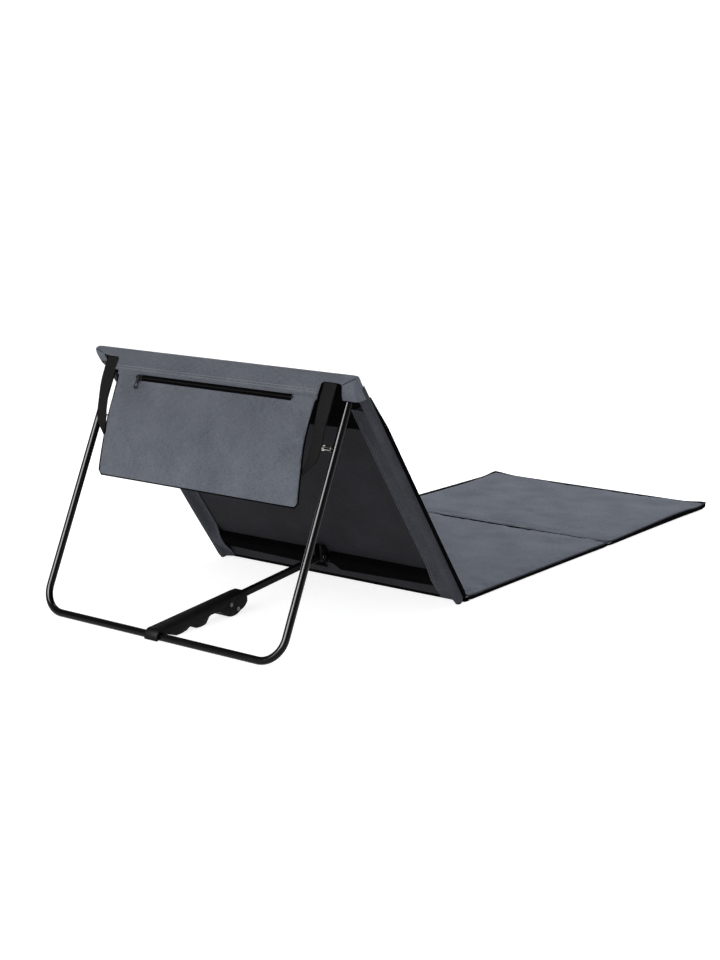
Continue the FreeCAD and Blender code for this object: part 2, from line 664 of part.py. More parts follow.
# Pouch, straps and zip
def make_pouch():
    height = size("pouch_height")
    bulge = size("pouch_bulge")
    top = -size("pouch_top")
    middle = -0.5 * height
    hem = -size("pouch_curl")
    panel_path = [(-2.4, top), (0, top), (0, -20), ((bulge, middle), (hem + 1.5, -height)),
                  (hem - 1.5, -height), ((-3.5, middle), (-2.4, -20)), (-2.4, top)]
    node(extruded(POUCH, panel_path, "2 * {pouch_half}"), "pouch_panel")
    lining_path = [(-4.0, top), (-2.7, top), (-2.7, -20), ((-3.8, middle), (hem - 1.8, -height)),
                   (hem - 3.2, -height), ((-5.2, middle), (-4.0, -20)), (-4.0, top)]
    node(extruded(POUCH, lining_path, "2 * {pouch_half} - 4"), "pouch_lining")


def make_straps():
    """Webbing beside the pouch, from the hood's notch down and in to the pouch's side edge."""
    rise = size("strap_rise")
    drop = -size("strap_drop")
    inner = size("strap_inner")
    outer = inner + size("strap_width")
    edge = size("pouch_half") + 0.5

    def strap(side):
        path = [(side * inner, rise), (side * outer, rise), (side * outer, drop),
                ((side * (outer - 6), drop - 32), (side * edge, drop - 56)), (side * edge, drop - 40),
                ((side * (inner + 3), drop - 20), (side * inner, drop)), (side * inner, rise)]
        return extruded(POUCH, path, "{strap_thick}", -5.0, along="Y")

    node(strap(1), "strap_left")
    node(strap(-1), "strap_right")


def make_zip():
    """Tapes, coil and stops on the pouch; the slider runs along them and its puller hangs from a bridge."""
    left = size("zip_left")
    right = -size("zip_right")
    middle = -size("zip_drop")
    length = "{zip_left} + {zip_right}"
    lift = size("zip_lift")
    half_gap = size("coil_width") / 2 + 0.1
    tapes = [box(POUCH, (right, lift, low), length, "0.5", "{zip_tape}")
             for low in (middle + half_gap, middle - half_gap - size("zip_tape"))]
    node(group(*tapes), "zip_tapes")
    coil = box(POUCH, (right, lift, middle - size("coil_width") / 2), length, "1.2", "{coil_width}")
    node(coil, "zip_coil")
    stops = [box(POUCH, (x, lift, middle - size("coil_width")), "2", "1.6", "2 * {coil_width}")
             for x in (left + 0.1, right - 2.1)]
    node(group(*stops), "zip_stops")
    slide = size("slider_length")
    start = left - slide
    reach = size("bridge_reach")
    plate = box(POUCH, (start, 1.7, middle - size("slider_width") / 2),
                "{slider_length}", "1.6", "{slider_width}")
    posts = [box(POUCH, (x, 3.2, middle - 1.2), "1.6", "2.6", "2.4") for x in (start, start + slide - 1.6)]
    bridge = cylinder_x(POUCH, start + 0.5, reach, middle, "{bridge_dia} / 2", "{slider_length} - 1")
    node(fuse(plate, *posts, bridge), "zip_slider")
    eye_from = start + 3.2
    eye_width = slide - 6.4
    eye = cylinder_x(POUCH, eye_from, reach, middle, "{bridge_dia} / 2 + 0.7", str(eye_width))
    centre = start + slide / 2
    shoulder = middle - 0.7 * size("puller_length")
    drop_path = [(eye_from, middle), (centre - 3.2, shoulder),
                 ((centre, middle - size("puller_length")), (centre + 3.2, shoulder)),
                 (eye_from + eye_width, middle), (eye_from, middle)]
    hole_path = [(centre - 1.6, shoulder - 1.5), ((centre, shoulder - 3.4), (centre + 1.6, shoulder - 1.5)),
                 ((centre, shoulder + 4), (centre - 1.6, shoulder - 1.5))]
    tongue = cut(extruded(POUCH, drop_path, "1.1", reach + 0.95, along="Y"),
                 extruded(POUCH, hole_path, "2", reach + 0.95, along="Y"))
    bore = cylinder_x(POUCH, eye_from - 1, reach, middle, "{bridge_dia} / 2 + 0.08", "{slider_length}")
    node(cut(fuse(eye, tongue), bore), "zip_puller")


def check_and_write():
    """Refuse a failed or empty piece, then write each piece under its own name."""
    DOC.recompute()
    for obj in DOC.Objects:
        if "Invalid" in obj.State or "Error" in obj.State:
            raise RuntimeError("%s failed: %s" % (obj.Label, obj.State))
    for obj in NODES:
        if obj.Shape.isNull() or not obj.Shape.isValid() or not obj.Shape.Solids:
            raise RuntimeError("%s has no valid solid" % obj.Label)
    os.makedirs("parts", exist_ok=True)
    whole = FreeCAD.BoundBox()
    for obj in NODES:
        obj.Shape.exportStep("parts/%s.step" % obj.Label)
        whole.add(obj.Shape.BoundBox)
    print("pieces %d, box %s" % (len(NODES), whole))


make_mat()
make_back_pad()
make_back_frame()
make_pivots()
make_strut_bracket()
make_hems()
make_bands()
make_hood()
make_hoop()
make_studs()
make_strut()
make_rack()
make_pouch()
make_straps()
make_zip()
check_and_write()
print("pivot %s, hinge of strut %s, seam %s, shift %.3f" % (PIVOT, STRUT_PIN, SEAM, SHIFT))
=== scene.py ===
# Folding beach lounger: its cloth, webbing, zip and finishes, with the light and the camera.
# Sizes are millimetres, turned to metres where a point is placed.
import json
import math
import bpy
from mathutils import Matrix, Vector, noise


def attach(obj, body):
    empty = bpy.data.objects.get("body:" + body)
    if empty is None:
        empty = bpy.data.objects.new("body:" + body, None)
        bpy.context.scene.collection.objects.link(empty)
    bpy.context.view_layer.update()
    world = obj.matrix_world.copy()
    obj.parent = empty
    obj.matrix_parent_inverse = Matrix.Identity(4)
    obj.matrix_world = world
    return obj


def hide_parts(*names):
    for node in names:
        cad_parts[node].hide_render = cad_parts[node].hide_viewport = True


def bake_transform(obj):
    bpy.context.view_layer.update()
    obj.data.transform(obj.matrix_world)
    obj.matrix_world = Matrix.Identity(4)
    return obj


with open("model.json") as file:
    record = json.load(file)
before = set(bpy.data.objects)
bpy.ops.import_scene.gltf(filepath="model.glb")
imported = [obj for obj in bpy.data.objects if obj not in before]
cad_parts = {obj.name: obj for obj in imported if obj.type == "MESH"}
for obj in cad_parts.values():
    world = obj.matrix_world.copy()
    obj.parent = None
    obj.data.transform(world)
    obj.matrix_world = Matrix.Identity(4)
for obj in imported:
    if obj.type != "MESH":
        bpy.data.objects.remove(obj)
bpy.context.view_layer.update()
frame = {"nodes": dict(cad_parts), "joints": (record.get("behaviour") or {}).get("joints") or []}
NODES = frame["nodes"]
MM = 0.001

# Places: each space has the part's own directions, with its origin at a joint of the model
JOINT_AT = {joint["name"]: Vector(joint["pos_m"]) for joint in frame["joints"] if joint.get("pos_m")}
RECLINE = 52.4
LEAN = 23.89


def turned(origin, degrees):
    return Matrix.Translation(origin) @ Matrix.Rotation(math.radians(degrees), 4, "X")


HINGE = JOINT_AT["back_recline"] + Vector((0, 6, -17)) * MM
FLOOR = turned(HINGE, 0)
BACK = turned(HINGE, RECLINE - 90)
FACE = turned(HINGE, RECLINE)
POUCH = turned(JOINT_AT["pouch_swing"], LEAN)
SEAT_END = -14.0
FOLD = -515.0
FOOT_END = -955.0


def at(space, x, y, z):
    """Point in metres of a place given in a space's millimetres."""
    return space @ (Vector((x, y, z)) * MM)


def ease(value):
    """Smooth step from 0 to 1."""
    value = min(max(value, 0.0), 1.0)
    return value * value * (3 - 2 * value)


def along(points, part):
    """Point at a part (0 to 1) of a line through points, by its length."""
    points = [Vector(point) for point in points]
    runs = [(after - before).length for before, after in zip(points, points[1:])]
    left = part * sum(runs)
    for before, after, run in zip(points, points[1:], runs):
        if left <= run:
            return before.lerp(after, left / run)
        left -= run
    return points[-1].copy()


def lookup(table, value):
    """Value read from a table of (place, value) pairs, straight between them."""
    for (start, before), (end, after) in zip(table, table[1:]):
        if value <= end:
            return before + (after - before) * (max(value, start) - start) / (end - start)
    return table[-1][1]


# Materials
def linear(code):
    """sRGB hex to linear colour."""
    parts = [int(code[place:place + 2], 16) / 255 for place in (1, 3, 5)]
    colour = [part / 12.92 if part <= 0.04045 else ((part + 0.055) / 1.055) ** 2.4 for part in parts]
    return (*colour, 1.0)


def add(tree, kind, inputs=None, **settings):
    """Add a node with its settings; each input is a value, or a socket that is linked to it."""
    node = tree.nodes.new(kind)
    for name, value in settings.items():
        setattr(node, name, value)
    for name, value in (inputs or {}).items():
        if isinstance(value, bpy.types.NodeSocket):
            tree.links.new(value, node.inputs[name])
        else:
            node.inputs[name].default_value = value
    return node


def finish_named(name, **sockets):
    """Material with its shader's plain values set, and its tree and shader."""
    material = bpy.data.materials.new(name)
    material.use_nodes = True
    tree = material.node_tree
    shader = tree.nodes["Principled BSDF"]
    for socket, value in sockets.items():
        shader.inputs[socket.replace("_", " ")].default_value = value
    return material, tree, shader


MIX_FACTOR, MIX_A, MIX_B, MIX_OUT = 0, 6, 7, 2
WAVE_SPAN = 0.314
# Noise per metre: slubs are about 1.1 mm wide and 8 mm long
SLUB_WIDTH, SLUB_LENGTH = 900, 130
PATCHES = 14.0
THREAD_RELIEF = 0.4
GRAIN_RELIEF = 0.15
UNEVENNESS = 30.0


def woven(name, dark, light, thread, roughness, bump, rib=1.0, shine=0.1):
    """Woven cloth on UVs in metres: crossing threads of a spacing in mm, their slubs and soft patches."""
    material, tree, shader = finish_named(name, Roughness=roughness, Specular_IOR_Level=shine)
    uv = add(tree, "ShaderNodeUVMap").outputs[0]
    pitch = WAVE_SPAN / (thread * MM)
    threads = []
    slubs = []
    for direction, scale, stretch in (("X", pitch, (SLUB_WIDTH, SLUB_LENGTH, 1)),
                                      ("Y", pitch * rib, (SLUB_LENGTH, SLUB_WIDTH, 1))):
        wave = add(tree, "ShaderNodeTexWave", {"Vector": uv, "Scale": scale, "Distortion": 0.6, "Detail": 1.0,
                                               "Detail Scale": 0.4}, bands_direction=direction)
        threads.append(wave.outputs["Fac"])
        drawn = add(tree, "ShaderNodeMapping", {"Vector": uv, "Scale": stretch})
        slub = add(tree, "ShaderNodeTexNoise", {"Vector": drawn.outputs[0], "Scale": 1.0, "Detail": 2.0})
        slubs.append(slub.outputs[0])
    cross = add(tree, "ShaderNodeMath", {0: threads[0], 1: threads[1]}, operation="MULTIPLY").outputs[0]
    uneven = add(tree, "ShaderNodeMath", {0: slubs[0], 1: slubs[1]}, operation="ADD").outputs[0]
    patches = add(tree, "ShaderNodeTexNoise", {"Vector": uv, "Scale": PATCHES, "Detail": 3.0})
    tone = add(tree, "ShaderNodeMath", {0: uneven, 1: patches.outputs[0]}, operation="ADD")
    shade = add(tree, "ShaderNodeMapRange", {"Value": tone.outputs[0], "From Min": 1.1, "From Max": 1.9})
    worn = add(tree, "ShaderNodeMath", {0: cross, 1: 0.22, 2: shade.outputs[0]}, operation="MULTIPLY_ADD")
    colour = add(tree, "ShaderNodeMix", {MIX_FACTOR: worn.outputs[0], MIX_A: linear(dark),
                                         MIX_B: linear(light)}, data_type="RGBA")
    tree.links.new(colour.outputs[MIX_OUT], shader.inputs["Base Color"])
    relief = add(tree, "ShaderNodeMath", {0: uneven, 1: 0.5, 2: cross}, operation="MULTIPLY_ADD")
    raised = add(tree, "ShaderNodeBump", {"Height": relief.outputs[0], "Strength": bump,
                                          "Distance": THREAD_RELIEF * MM})
    tree.links.new(raised.outputs[0], shader.inputs["Normal"])
    return material


def coated(name, colour, worn_colour, roughness, grain, bump, metallic=0.0, specular=0.5):
    """Hard surface on Object coordinates: a grain in mm in the relief, with gloss and tone that vary."""
    material, tree, shader = finish_named(name, Metallic=metallic, Specular_IOR_Level=specular)
    place = add(tree, "ShaderNodeTexCoord").outputs["Object"]
    fine = add(tree, "ShaderNodeTexNoise", {"Vector": place, "Scale": 1 / (grain * MM), "Detail": 2.0})
    broad = add(tree, "ShaderNodeTexNoise", {"Vector": place, "Scale": UNEVENNESS, "Detail": 4.0})
    gloss = add(tree, "ShaderNodeMapRange", {"Value": broad.outputs[0], "From Min": 0.3, "From Max": 0.7,
                                             "To Min": roughness * 0.85, "To Max": roughness * 1.2})
    tree.links.new(gloss.outputs[0], shader.inputs["Roughness"])
    tone = add(tree, "ShaderNodeMix", {MIX_FACTOR: broad.outputs[0], MIX_A: linear(colour),
                                       MIX_B: linear(worn_colour)}, data_type="RGBA")
    tree.links.new(tone.outputs[MIX_OUT], shader.inputs["Base Color"])
    raised = add(tree, "ShaderNodeBump", {"Height": fine.outputs[0], "Strength": bump,
                                          "Distance": GRAIN_RELIEF * MM})
    tree.links.new(raised.outputs[0], shader.inputs["Normal"])
    return material


# Polyester canvas: a dull, slightly uneven blue grey. Its threads are drawn at 1.8 mm, coarser than real,
# so that they show.
CANVAS = woven("polyester_canvas_grey", "#454952", "#63676f", 1.8, 0.86, 0.55)
# The same canvas painted darker as shade, for the hems behind the backrest, which face down and away from the
# light; also for the pads' rim welts and the hood's folds
SHADED_CANVAS = woven("polyester_canvas_grey_shaded", "#282a2e", "#3c3e44", 1.8, 0.84, 0.5, shine=0.04)
# Coated polyester lining: darker and smoother than the canvas, with a faint sheen
LINING = woven("polyester_lining_charcoal", "#1b1b1e", "#28282c", 1.4, 0.7, 0.3, shine=0.03)
# Black polyester cloth of the bands and the underside: matt, with barely visible threads
BLACK_CLOTH = woven("polyester_cloth_black", "#050506", "#0c0c0d", 1.4, 0.8, 0.4, shine=0.0)
# Polypropylene webbing: ribs across its width, brownish black
WEBBING = woven("polypropylene_webbing_black", "#080808", "#141413", 1.6, 0.62, 0.9, rib=0.6, shine=0.03)
# Sewing thread, slightly lighter than the canvas
THREAD = coated("polyester_thread_grey", "#666b73", "#7d828a", 0.6, 0.6, 0.3)
# Thread of the hems, close to their own colour: painted darker as shade like them
SHADED_THREAD = coated("polyester_thread_grey_shaded", "#3a3d43", "#4a4d54", 0.6, 0.6, 0.3)
# Steel tube with gloss black powder coat: a clear bright reflection with slight orange peel
GLOSS_BLACK = coated("powder_coat_gloss_black", "#020203", "#040405", 0.15, 1.6, 0.02, specular=0.12)
# Flat steel bar with satin black paint: a broad, weak reflection
SATIN_BLACK = coated("painted_steel_satin_black", "#030304", "#080809", 0.42, 0.8, 0.15, specular=0.06)
# Moulded nylon: matt black with a fine spark-eroded grain
NYLON = coated("moulded_nylon_black", "#040404", "#080809", 0.55, 0.5, 0.35, specular=0.06)
# Nickel-plated steel of studs and rivets: bright, with a slightly warm reflection
NICKEL = coated("nickel_plated_steel", "#c4c3bf", "#dad9d5", 0.2, 0.7, 0.08, metallic=1.0)
# Bare steel of washers and of the rack's rivets: a dull, dark grey reflection
DULL_STEEL = coated("dull_steel", "#4d4d4b", "#63625f", 0.38, 0.6, 0.15, metallic=1.0)
# Black-plated zinc of the zip's slider and puller: nearly black, hardly reflecting
BLACK_ZINC = coated("black_plated_zinc", "#040405", "#0a0a0b", 0.5, 0.5, 0.12, specular=0.05)


# Modelling steps
def select_only(obj):
    """Select one object and make it active."""
    bpy.ops.object.select_all(action="DESELECT")
    obj.select_set(True)
    bpy.context.view_layer.objects.active = obj


def apply_modifier(obj, kind, **settings):
    select_only(obj)
    modifier = obj.modifiers.new(kind.title(), kind)
    for name, value in settings.items():
        setattr(modifier, name, value)
    bpy.ops.object.modifier_apply(modifier=modifier.name)


def subdivide_smooth(obj, levels=1):
    apply_modifier(obj, "SUBSURF", levels=levels, render_levels=levels, boundary_smooth="PRESERVE_CORNERS")


def named(obj, name):
    obj.name = name
    obj.data.name = name
    return obj


def new_block(name, cuts):
    """Cube of side 1 with its faces cut into a grid."""
    bpy.ops.object.select_all(action="DESELECT")
    bpy.ops.mesh.primitive_cube_add(size=1)
    obj = named(bpy.context.object, name)
    bpy.ops.object.mode_set(mode="EDIT")
    bpy.ops.mesh.select_all(action="SELECT")
    bpy.ops.mesh.subdivide(number_cuts=cuts)
    bpy.ops.object.mode_set(mode="OBJECT")
    return obj


def new_grid(name, columns, rows, flat):
    """Flat grid with UVs in metres of the cloth's flat size."""
    bpy.ops.object.select_all(action="DESELECT")
    bpy.ops.mesh.primitive_grid_add(x_subdivisions=columns, y_subdivisions=rows, size=1)
    obj = named(bpy.context.object, name)
    for corner in obj.data.uv_layers.active.data:
        corner.uv = (corner.uv[0] * flat[0] * MM, corner.uv[1] * flat[1] * MM)
    return obj


def drop(obj, kind, parts, unwanted):
    """Delete the points or faces that a test picks."""
    select_only(obj)
    bpy.ops.object.mode_set(mode="EDIT")
    bpy.ops.mesh.select_mode(type=kind)
    bpy.ops.mesh.select_all(action="DESELECT")
    bpy.ops.object.mode_set(mode="OBJECT")
    for part in parts:
        part.select = unwanted(part)
    bpy.ops.object.mode_set(mode="EDIT")
    bpy.ops.mesh.delete(type=kind)
    bpy.ops.mesh.select_mode(type="VERT")
    bpy.ops.object.mode_set(mode="OBJECT")


def cloth(name, columns, rows, flat, place, thick=0.9, smooth=1):
    """Cloth from a flat grid: place gives the point for the parts (0 to 1) across and along it."""
    obj = new_grid(name, columns, rows, flat)
    for vertex in obj.data.vertices:
        vertex.co = place(vertex.co.x + 0.5, vertex.co.y + 0.5)
    subdivide_smooth(obj, smooth)
    apply_modifier(obj, "SOLIDIFY", thickness=thick * MM, offset=0.0)
    bpy.ops.object.shade_smooth()
    return obj


def fit(obj, body, slot, material, *replaced):
    """Give a piece its finish, its body and the nodes that it stands for."""
    obj.data.materials.clear()
    obj.data.materials.append(material)
    if replaced:
        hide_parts(*replaced)
    if body:
        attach(obj, body)
    return obj


def copies(name, shape, places):
    """One mesh of many copies of a small shape."""
    points = [vertex.co.copy() for vertex in shape.data.vertices]
    faces = [tuple(face.vertices) for face in shape.data.polygons]
    mesh = bpy.data.meshes.new(name)
    all_points = [place @ point for place in places for point in points]
    all_faces = [tuple(index + count * len(points) for index in face)
                 for count in range(len(places)) for face in faces]
    mesh.from_pydata(all_points, [], all_faces)
    bpy.data.objects.remove(shape)
    obj = bpy.data.objects.new(name, mesh)
    bpy.context.scene.collection.objects.link(obj)
    select_only(obj)
    bpy.ops.object.shade_smooth()
    return obj


def stitch_row(name, lines, pitch=3.6, length=2.9, thick=0.9):
    """Sewing stitches along lines of (start, end) points in metres."""
    bpy.ops.object.select_all(action="DESELECT")
    bpy.ops.mesh.primitive_uv_sphere_add(segments=6, ring_count=5, radius=0.5)
    shape = bpy.context.object
    places = []
    for start, end in lines:
        span = end - start
        turn = span.to_track_quat("Z", "X").to_matrix().to_4x4()
        scale = Matrix.Diagonal((thick * MM, thick * MM, length * MM, 1))
        count = max(1, round(span.length / (pitch * MM)))
        for index in range(count):
            middle = start.lerp(end, (index + 0.5) / count)
            places.append(Matrix.Translation(middle) @ turn @ scale)
    return copies(name, shape, places)


def line_through(points):
    """Runs between successive points."""
    return list(zip(points, points[1:]))


def welt(name, points, radius, closed=False):
    """Round welt along points in metres."""
    data = bpy.data.curves.new(name, "CURVE")
    data.dimensions = "3D"
    data.bevel_depth = radius * MM
    data.bevel_resolution = 2
    spline = data.splines.new("POLY")
    spline.points.add(len(points) - 1)
    for place, point in zip(spline.points, points):
        place.co = (*point, 1.0)
    spline.use_cyclic_u = closed
    obj = bpy.data.objects.new(name, data)
    bpy.context.scene.collection.objects.link(obj)
    select_only(obj)
    data.use_fill_caps = True
    bpy.ops.object.convert(target="MESH")
    obj = named(bpy.context.object, name)
    plan_uv(obj)
    bpy.ops.object.shade_smooth()
    return obj


def plan_uv(obj, across=0, along_axis=1):
    """UVs in metres from two axes of a mesh."""
    layer = obj.data.uv_layers.active or obj.data.uv_layers.new(name="UVMap")
    for loop in obj.data.loops:
        point = obj.data.vertices[loop.vertex_index].co
        layer.data[loop.index].uv = (point[across], point[along_axis])


def softened(node, name, width, sharp=35):
    """Copy of a hard node with its edges rounded."""
    source = NODES[node]
    obj = bpy.data.objects.new(name, source.data.copy())
    bpy.context.scene.collection.objects.link(obj)
    obj.data.name = name
    select_only(obj)
    bpy.ops.object.mode_set(mode="EDIT")
    bpy.ops.mesh.select_all(action="SELECT")
    bpy.ops.mesh.remove_doubles(threshold=0.01 * MM)
    bpy.ops.mesh.dissolve_limited(angle_limit=math.radians(4))
    bpy.ops.object.mode_set(mode="OBJECT")
    apply_modifier(obj, "BEVEL", width=width * MM, segments=2, limit_method="ANGLE",
                   angle_limit=math.radians(sharp), harden_normals=False)
    bpy.ops.object.shade_smooth_by_angle(angle=math.radians(sharp))
    return obj


# Pads: a foam sheet in a sewn cover, crowned above and flat below
PAD_HALF = 258.4
PAD_BASE = 1.3
# How far the sides and ends are drawn in between the corners, and the lean of the sides
SIDE_DRAW = 2.0
END_DRAW = 1.5
SIDE_LEAN = 2.4
# Swelling: pressure, slack of the cover and furthest move
PAD_PRESSURE, PAD_SLACK, PAD_CAP = 4.0, 0.012, 5.0
SIM_FRAMES = 20
# Span of the base cloth, with its turned-up edge, against the pad's plan
TURN_UP = 1.18


def pad_outline(across, part, length, lean=0.0):
    """Plan point of a pad, drawn in between its corners: across is -1 to 1, part along it 0 to 1."""
    lengthwise = 2 * part - 1
    blunt = 2.0 * (across * lengthwise) ** 24
    half = PAD_HALF - lean - blunt - SIDE_DRAW * (1 - lengthwise ** 4)
    end = length / 2 - lean - blunt - END_DRAW * (1 - across ** 4)
    return across * half, length / 2 + lengthwise * end


def corner_rise(across, part, lift):
    """Lift of a free end's corners, and of the side that curls off the floor."""
    corner = ease((abs(across) - 0.72) / 0.28) ** 2 * ease((0.16 - part) / 0.16) ** 2
    curl = ease((-across - 0.86) / 0.14) * ease(part / 0.25) * (0.55 + 0.45 * math.sin(5 * part))
    return lift * (corner + curl)


def new_pad(name, length, crown, rim, lift, taper):
    """Pad before swelling, y from 0 to its length; taper is the share of thickness lost at the far end."""
    obj = new_block(name, 24)
    for vertex in obj.data.vertices:
        across = math.sin(math.pi * vertex.co.x)
        part = 0.5 + 0.5 * math.sin(math.pi * vertex.co.y)
        level = vertex.co.z + 0.5
        x, y = pad_outline(across, part, length, lean=SIDE_LEAN * (1 - level))
        top = rim + (crown - rim) * (1 - abs(across) ** 16) * (1 - abs(2 * part - 1) ** 34)
        thinning = taper * ease((part - 0.62) / 0.34)
        top *= 1 - thinning
        x *= 1 - 0.05 * thinning
        z = PAD_BASE + level * (top - PAD_BASE) + corner_rise(across, part, lift)
        vertex.co = Vector((x, y, z)) * MM
    return obj


def swell(obj, held, pressure, slack, cap, voxel=5.0):
    """Swell a cover by simulation; held picks the points that stay, cap is the furthest that others go."""
    apply_modifier(obj, "REMESH", mode="VOXEL", voxel_size=voxel * MM)
    before = [vertex.co.copy() for vertex in obj.data.vertices]
    group = obj.vertex_groups.new(name="held")
    group.add([vertex.index for vertex in obj.data.vertices if held(vertex.co / MM)], 1.0, "REPLACE")
    select_only(obj)
    modifier = obj.modifiers.new("Cloth", "CLOTH")
    modifier.settings.quality = 5
    modifier.settings.vertex_group_mass = "held"
    modifier.settings.use_pressure = True
    modifier.settings.uniform_pressure_force = pressure
    modifier.settings.shrink_min = -slack
    modifier.settings.effector_weights.gravity = 0
    modifier.point_cache.frame_start = 1
    modifier.point_cache.frame_end = SIM_FRAMES
    for step in range(1, SIM_FRAMES + 1):
        bpy.context.scene.frame_set(step)
    bpy.ops.object.modifier_apply(modifier=modifier.name)
    bpy.context.scene.frame_set(1)
    for vertex, start in zip(obj.data.vertices, before):
        move = vertex.co - start
        if move.length > cap * MM:
            vertex.co = start + move.normalized() * cap * MM
    obj.vertex_groups.clear()


def ripple(obj, rim, ceiling, seed, swing):
    """Soft ripples in the upper cloth, kept below a ceiling."""
    for vertex in obj.data.vertices:
        place = vertex.co / MM
        rise = ease((place.z - rim) / 4)
        wave = noise.noise(Vector((place.x / 140, place.y / 40, seed)))
        wave += 0.6 * noise.noise(Vector((place.x / 55, place.y / 65, seed + 7)))
        z = place.z + rise * swing * wave
        vertex.co.z = min(z, ceiling) * MM


def make_pad(name, space, start, length, crown, rim, lift, seed, swing, taper=0.0):
    """Pad that starts at a place along a space's y; seed and swing are those of its ripples."""
    obj = new_pad(name, length, crown, rim, lift, taper)
    swell(obj, lambda point: point.z < rim - 1.2 or abs(point.x) > PAD_HALF - 5,
          PAD_PRESSURE, PAD_SLACK, PAD_CAP)
    ripple(obj, rim, crown + 1.2, seed, swing)
    subdivide_smooth(obj)
    plan_uv(obj)
    obj.data.transform(space @ Matrix.Translation(Vector((0, start, 0)) * MM))
    select_only(obj)
    bpy.ops.object.shade_smooth()
    return obj


def make_underside(name, space, start, length, rim, lift):
    """Black base cloth, turned up round the pad's sides as far as its rim. Where the corners and the curled
    side lift, its side still reaches down to the floor, as painted shadow under the lifted edge.
    """
    def place(u, v):
        across = max(-1.0, min(1.0, (2 * u - 1) * TURN_UP))
        part = max(0.0, min(1.0, 0.5 + (v - 0.5) * TURN_UP))
        over = max(abs(2 * u - 1) * TURN_UP - 1, abs(2 * v - 1) * TURN_UP - 1, 0.0) / (TURN_UP - 1)
        x = pad_outline(across, part, length, lean=-1.0)[0]
        y = pad_outline(across, part, length, lean=-0.3)[1]
        z = 0.5 + over * (rim - 0.8 + corner_rise(across, part, lift))
        return at(space, x, y + start, z)

    obj = cloth(name, 36, 36, (520, length), place, thick=0.8)
    return obj


def make_rim(name, space, start, length, rim, lift):
    """Welt where the cover meets the base cloth."""
    steps = 30
    ring = [(-1 + 2 * count / steps, 0.0) for count in range(steps)]
    ring += [(1.0, count / steps) for count in range(steps)]
    ring += [(1 - 2 * count / steps, 1.0) for count in range(steps)]
    ring += [(-1.0, 1 - count / steps) for count in range(steps)]
    points = []
    for across, part in ring:
        x, y = pad_outline(across, part, length, lean=-0.5)
        points.append(at(space, x, y + start, rim + 0.4 + corner_rise(across, part, lift)))
    return welt(name, points, 1.3, closed=True)


PANEL_GAP = 0.6
MAT_RIM = 9.5
MAT_CROWN = 12.2
FOOT_LIFT = 4.5
# Panels of the mat: start, length, lift of the free corners, and seed and swing of the ripples
PANELS = {"seat": (FOLD + PANEL_GAP, SEAT_END - FOLD - PANEL_GAP, 0.0, 3.0, 1.8),
          "foot": (FOOT_END, FOLD - FOOT_END - PANEL_GAP, FOOT_LIFT, 11.0, 2.0)}
for panel, (start, length, lift, seed, swing) in PANELS.items():
    pad = make_pad(panel + "_pad", FLOOR, start, length, MAT_CROWN, MAT_RIM, lift, seed, swing)
    fit(pad, panel, "grey_cloth", CANVAS, panel + "_cover", panel + "_foam")
    underside = make_underside(panel + "_underside", FLOOR, start, length, MAT_RIM, lift)
    fit(underside, panel, "black_cloth", BLACK_CLOTH, panel + "_base")
    # Each pad's rim welt is in the darkened canvas: painted shade where the cover rolls over into its side
    rim_welt = make_rim(panel + "_rim_welt", FLOOR, start, length, MAT_RIM, lift)
    fit(rim_welt, panel, "grey_cloth", SHADED_CANVAS)

BACK_FROM = FACE @ Matrix.Translation(Vector((0, 0, 1.8)) * MM)
BACK_START = 12.0
BACK_LENGTH = 467.0
back_pad = make_pad("back_pad", BACK_FROM, BACK_START, BACK_LENGTH, 8.8, 7.4, 0.0, 21.0, 0.8, taper=0.18)
fit(back_pad, "backrest", "grey_cloth", CANVAS, "back_cover", "back_foam")
# Black welt along each side of the back pad: the pad's black side cloth, and painted shade where the pad's
# side turns away from the light
BINDING_STEPS = 40
for side, name in ((1, "back_binding_left"), (-1, "back_binding_right")):
    binding = []
    for count in range(BINDING_STEPS + 1):
        drawn = ease((count - 33) / 7)
        x, y = pad_outline(side, 0.99 * count / BINDING_STEPS, BACK_LENGTH, lean=-2.0 + 5.0 * drawn)
        binding.append(at(BACK_FROM, x, y + BACK_START, 4.0 - 1.5 * drawn))
    fit(welt(name, binding, 3.8), "backrest", "black_cloth", BLACK_CLOTH)


# Fold between the panels, and the hinge cloth under the backrest
FOLD_HALF = 259.5
HINGE_HALF = 257
HINGE_LINE = [(-17, 9.8), (-10, 6.6), (-4, 6.2), (1.5, 12.0), (1.0, 16.0)]
HINGE_UNDER_HALF = 255
HINGE_UNDER_LINE = [(-20, 0.5), (-8, 0.6), (-1, 1.6), (2.0, 5.5), (4.0, 9.5)]


def fold_point(u, v):
    """Sunk strip over the gap between the panels, turned down at its ends."""
    x = (2 * u - 1) * FOLD_HALF
    fall = ease((abs(x) - 252) / 8)
    reach = (v - 0.5) * 2
    y = FOLD - reach * 9
    z = MAT_RIM + 0.9 + 1.6 * abs(reach) - 3.5 * fall
    return at(FLOOR, x, y, z + 0.5 * noise.noise(Vector((x / 25, 0, 5))))


fold_strip = cloth("fold_strip", 60, 6, (520, 22), fold_point, thick=0.7)
fit(fold_strip, None, "grey_cloth", CANVAS)
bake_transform(fold_strip)


def hinge_point(u, v):
    """Cloth in the nook between seat and backrest, pinched at its ends."""
    x = (2 * u - 1) * HINGE_HALF
    y, z = along(HINGE_LINE, v)
    pinch = ease((abs(x) - 248) / 9)
    z += 0.6 * noise.noise(Vector((x / 18, v * 2, 2))) + 2.5 * pinch * math.sin(math.pi * v)
    return at(FLOOR, x, y, z)


hinge_cloth = cloth("hinge_cloth", 60, 8, (514, 32), hinge_point, thick=0.8)
fit(hinge_cloth, None, "grey_cloth", CANVAS)
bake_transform(hinge_cloth)


